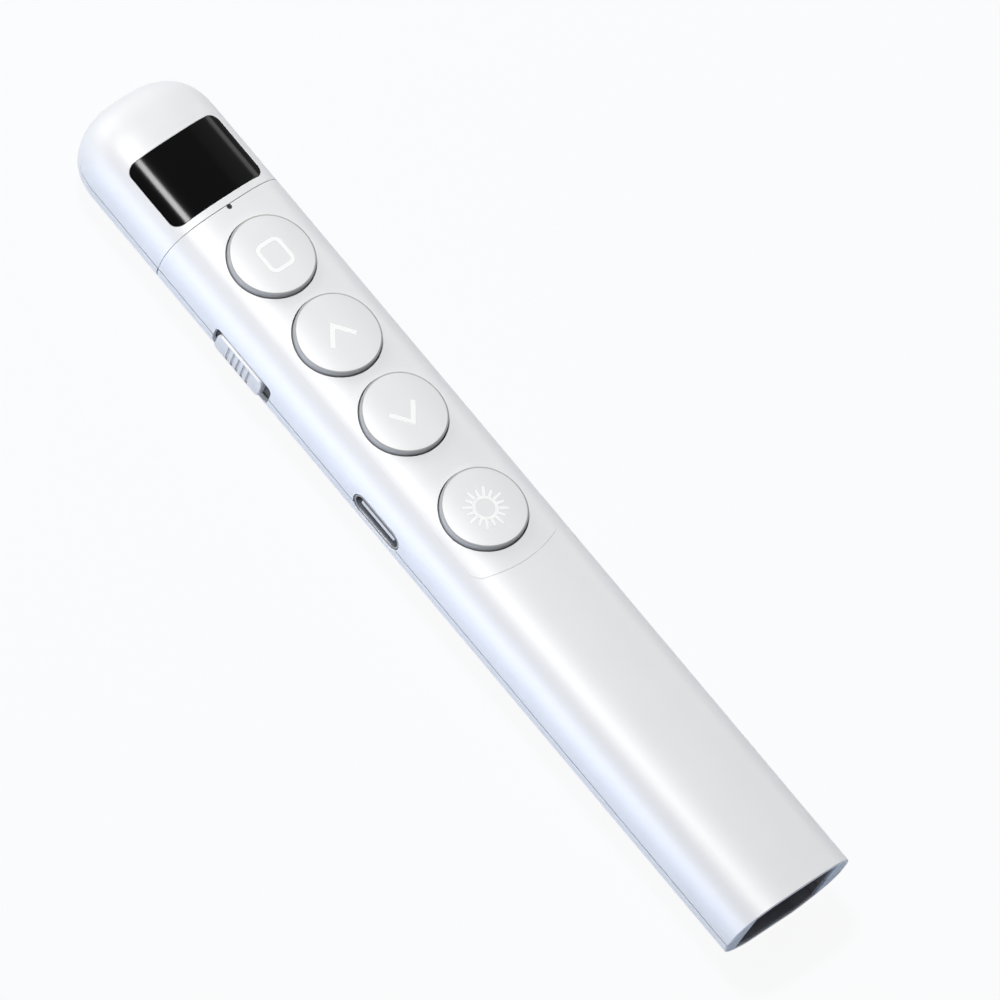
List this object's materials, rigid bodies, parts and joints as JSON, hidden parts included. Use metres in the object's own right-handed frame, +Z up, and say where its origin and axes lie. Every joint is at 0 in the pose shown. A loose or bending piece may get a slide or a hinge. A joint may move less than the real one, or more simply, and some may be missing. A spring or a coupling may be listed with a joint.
{
  "type": "wireless presentation clicker",
  "caption": "Slim white presentation clicker with domed nose, black display window, round buttons, slide switch, USB-C port and a USB receiver docked in its dark tail.",
  "frame": {"origin": "centre of the flat underside that the clicker rests on", "axes": "+X to the clicker's right, +Y towards the domed nose, +Z up"},
  "size_m": [0.0202, 0.1393, 0.0153],
  "materials": {
    "shell_white": "satin",
    "panel_white": "satin",
    "button_white": "satin",
    "black_gloss": "polished",
    "black_plastic": "satin",
    "smoke_plastic": "polished",
    "foam": "matte",
    "steel": "satin",
    "nickel": "polished",
    "brass": "satin",
    "gold": "polished",
    "foil": "satin",
    "board_green": "satin",
    "lens": "polished"
  },
  "bodies": {
    "housing": {"nose_cover": "shell_white", "nose_base": "shell_white", "upper_shell": "shell_white", "lower_shell": "shell_white", "button_panel": "panel_white", "display_window": "black_gloss", "display_module": "black_gloss", "display_gasket": "foam", "display_holder": "black_plastic", "receiver_bay": "black_plastic", "dock_magnet": "nickel", "main_board": "board_green", "key_switches": "black_plastic", "radio_shield": "steel", "charge_chip": "black_plastic", "slide_switch": "black_plastic", "indicator_led": "shell_white", "indicator_light_pipe": "smoke_plastic", "board_screws": "steel", "laser_module": "brass", "laser_lens": "lens", "battery": "foil", "battery_pad": "foam", "usb_c_shell": "steel", "usb_c_tongue": "button_white"},
    "screen_key": {"screen_button": "button_white"},
    "page_up_key": {"page_up_button": "button_white"},
    "page_down_key": {"page_down_button": "button_white"},
    "pointer_key": {"pointer_button": "button_white"},
    "power_slider": {"power_switch_knob": "button_white", "switch_dust_slide": "black_plastic"},
    "receiver": {"receiver_cap": "shell_white", "receiver_plug_shell": "steel", "receiver_tongue": "black_plastic", "receiver_contacts": "gold", "receiver_board": "board_green"}
  },
  "joints": [
    {"name": "screen_key_press", "type": "slide", "parent": "housing", "child": "screen_key", "axis": [0, 0, -1], "range_m": [0, 0.0004], "stiffness_N_per_m": 600},
    {"name": "page_up_key_press", "type": "slide", "parent": "housing", "child": "page_up_key", "axis": [0, 0, -1], "range_m": [0, 0.0004], "stiffness_N_per_m": 600},
    {"name": "page_down_key_press", "type": "slide", "parent": "housing", "child": "page_down_key", "axis": [0, 0, -1], "range_m": [0, 0.0004], "stiffness_N_per_m": 600},
    {"name": "pointer_key_press", "type": "slide", "parent": "housing", "child": "pointer_key", "axis": [0, 0, -1], "range_m": [0, 0.0004], "stiffness_N_per_m": 600},
    {"name": "power_slide", "type": "slide", "parent": "housing", "child": "power_slider", "axis": [0, -1, 0], "range_m": [0, 0.0014]},
    {"name": "receiver_pull_out", "type": "slide", "parent": "housing", "child": "receiver", "axis": [0, -1, 0], "range_m": [0, 0.025]}
  ]
}
